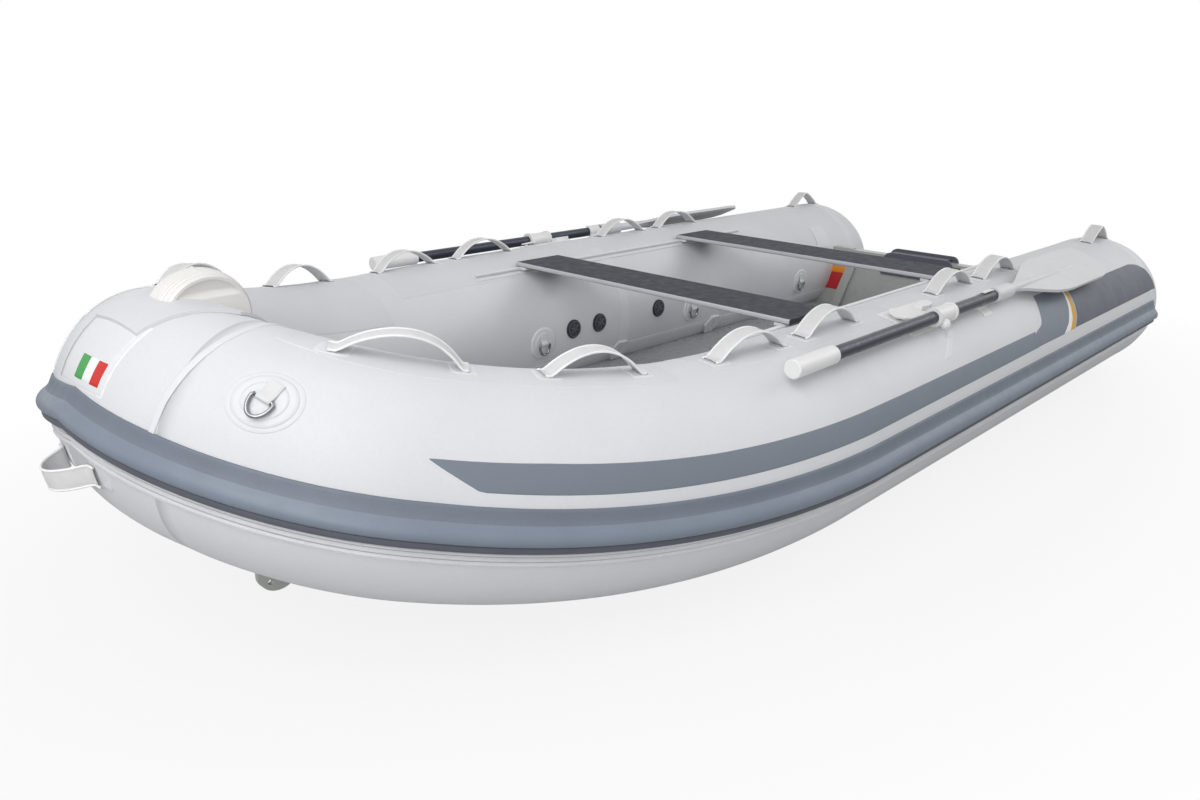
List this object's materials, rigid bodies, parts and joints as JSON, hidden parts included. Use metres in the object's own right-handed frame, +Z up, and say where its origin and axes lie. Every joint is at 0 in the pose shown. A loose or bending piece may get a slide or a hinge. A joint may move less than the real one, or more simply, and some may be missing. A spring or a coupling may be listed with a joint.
{
  "type": "rigid-hull inflatable boat",
  "caption": "Open inflatable tender with a rigid V hull, slate rub strake, carrying straps, sliding thwarts, stowed oars, a bow fairlead and a flat transom for an outboard.",
  "frame": {"origin": "on the waterline of the empty boat, on the centre plane, halfway along the boat", "axes": "+X to the bow, +Y to port, +Z up"},
  "size_m": [3.6049, 1.6578, 0.8135],
  "materials": {
    "tube_fabric": "matt coated fabric, light grey",
    "strake_rubber": "matt extruded rubber, slate grey",
    "rib_strip": "matt ribbed rubber, grey",
    "hull_gelcoat": "satin gelcoat, pale grey-green",
    "motor_pad": "matt moulded plastic, dark slate",
    "strap_webbing": "woven webbing with piped edges, off-white",
    "rail_plastic": "matt extruded plastic, off-white",
    "thwart_board": "painted board with non-slip top, dark slate",
    "white_plastic": "moulded plastic, off-white",
    "warm_plastic": "moulded rubber-like plastic, warm white",
    "oar_tube": "anodised tube, near black",
    "stainless": "polished stainless steel",
    "patch_fabric": "matt coated fabric, light grey",
    "valve_plastic": "moulded plastic, dark slate",
    "label": "blank plate, red",
    "plate": "blank plate, pale grey"
  },
  "bodies": {
    "boat": {"bow_handle": "strap_webbing", "bow_handle_patches": "patch_fabric", "cone_caps": "white_plastic", "d_rings": "stainless", "deck": "hull_gelcoat", "fairlead_saddle": "warm_plastic", "fairlead_sheave": "warm_plastic", "hull": "hull_gelcoat", "label_plate": "label", "lashing_pads": "patch_fabric", "motor_pad": "motor_pad", "oar_clip_port": "white_plastic", "oar_clip_starboard": "white_plastic", "rail_port": "rail_plastic", "rail_starboard": "rail_plastic", "rib_strip_bow": "rib_strip", "rib_strip_port": "rib_strip", "rib_strip_starboard": "rib_strip", "ring_patches": "patch_fabric", "rowlock_base_port": "white_plastic", "rowlock_base_starboard": "white_plastic", "stern_patches": "patch_fabric", "strake_bow": "strake_rubber", "strake_port": "strake_rubber", "strake_starboard": "strake_rubber", "straps_port": "strap_webbing", "straps_starboard": "strap_webbing", "tow_lug": "hull_gelcoat", "transom": "hull_gelcoat", "transom_knees": "hull_gelcoat", "transom_plate": "plate", "tube_bow": "tube_fabric", "tube_cone_port": "tube_fabric", "tube_cone_starboard": "tube_fabric", "tube_fore_port": "tube_fabric", "tube_fore_starboard": "tube_fabric", "tube_main_port": "tube_fabric", "tube_main_starboard": "tube_fabric", "tube_shoulder_port": "tube_fabric", "tube_shoulder_starboard": "tube_fabric", "valves_port": "valve_plastic", "valves_starboard": "valve_plastic"},
    "oar_port": {"oar_shaft_port": "oar_tube", "oar_grip_port": "white_plastic", "oar_blade_port": "white_plastic", "oar_collar_port": "white_plastic"},
    "oar_starboard": {"oar_shaft_starboard": "oar_tube", "oar_grip_starboard": "white_plastic", "oar_blade_starboard": "white_plastic", "oar_collar_starboard": "white_plastic"},
    "thwart_front": {"thwart_front": "thwart_board", "thwart_front_runners": "white_plastic"},
    "thwart_rear": {"thwart_rear": "thwart_board", "thwart_rear_runners": "white_plastic"}
  },
  "joints": [
    {"name": "thwart_front_slide", "type": "slide", "parent": "boat", "child": "thwart_front", "axis": [1, 0, 0], "range_m": [-0.16, 0.16]},
    {"name": "thwart_rear_slide", "type": "slide", "parent": "boat", "child": "thwart_rear", "axis": [1, 0, 0], "range_m": [-0.15, 0.38]},
    {"name": "oar_port_swing", "type": "hinge", "parent": "boat", "child": "oar_port", "pos_m": [0.047, 0.7085, 0.49358], "axis": [0, -0.6157, -0.788], "range_deg": [0, 130]},
    {"name": "oar_starboard_swing", "type": "hinge", "parent": "boat", "child": "oar_starboard", "pos_m": [0.047, -0.7085, 0.49358], "axis": [0, -0.6157, 0.788], "range_deg": [0, 130]}
  ]
}
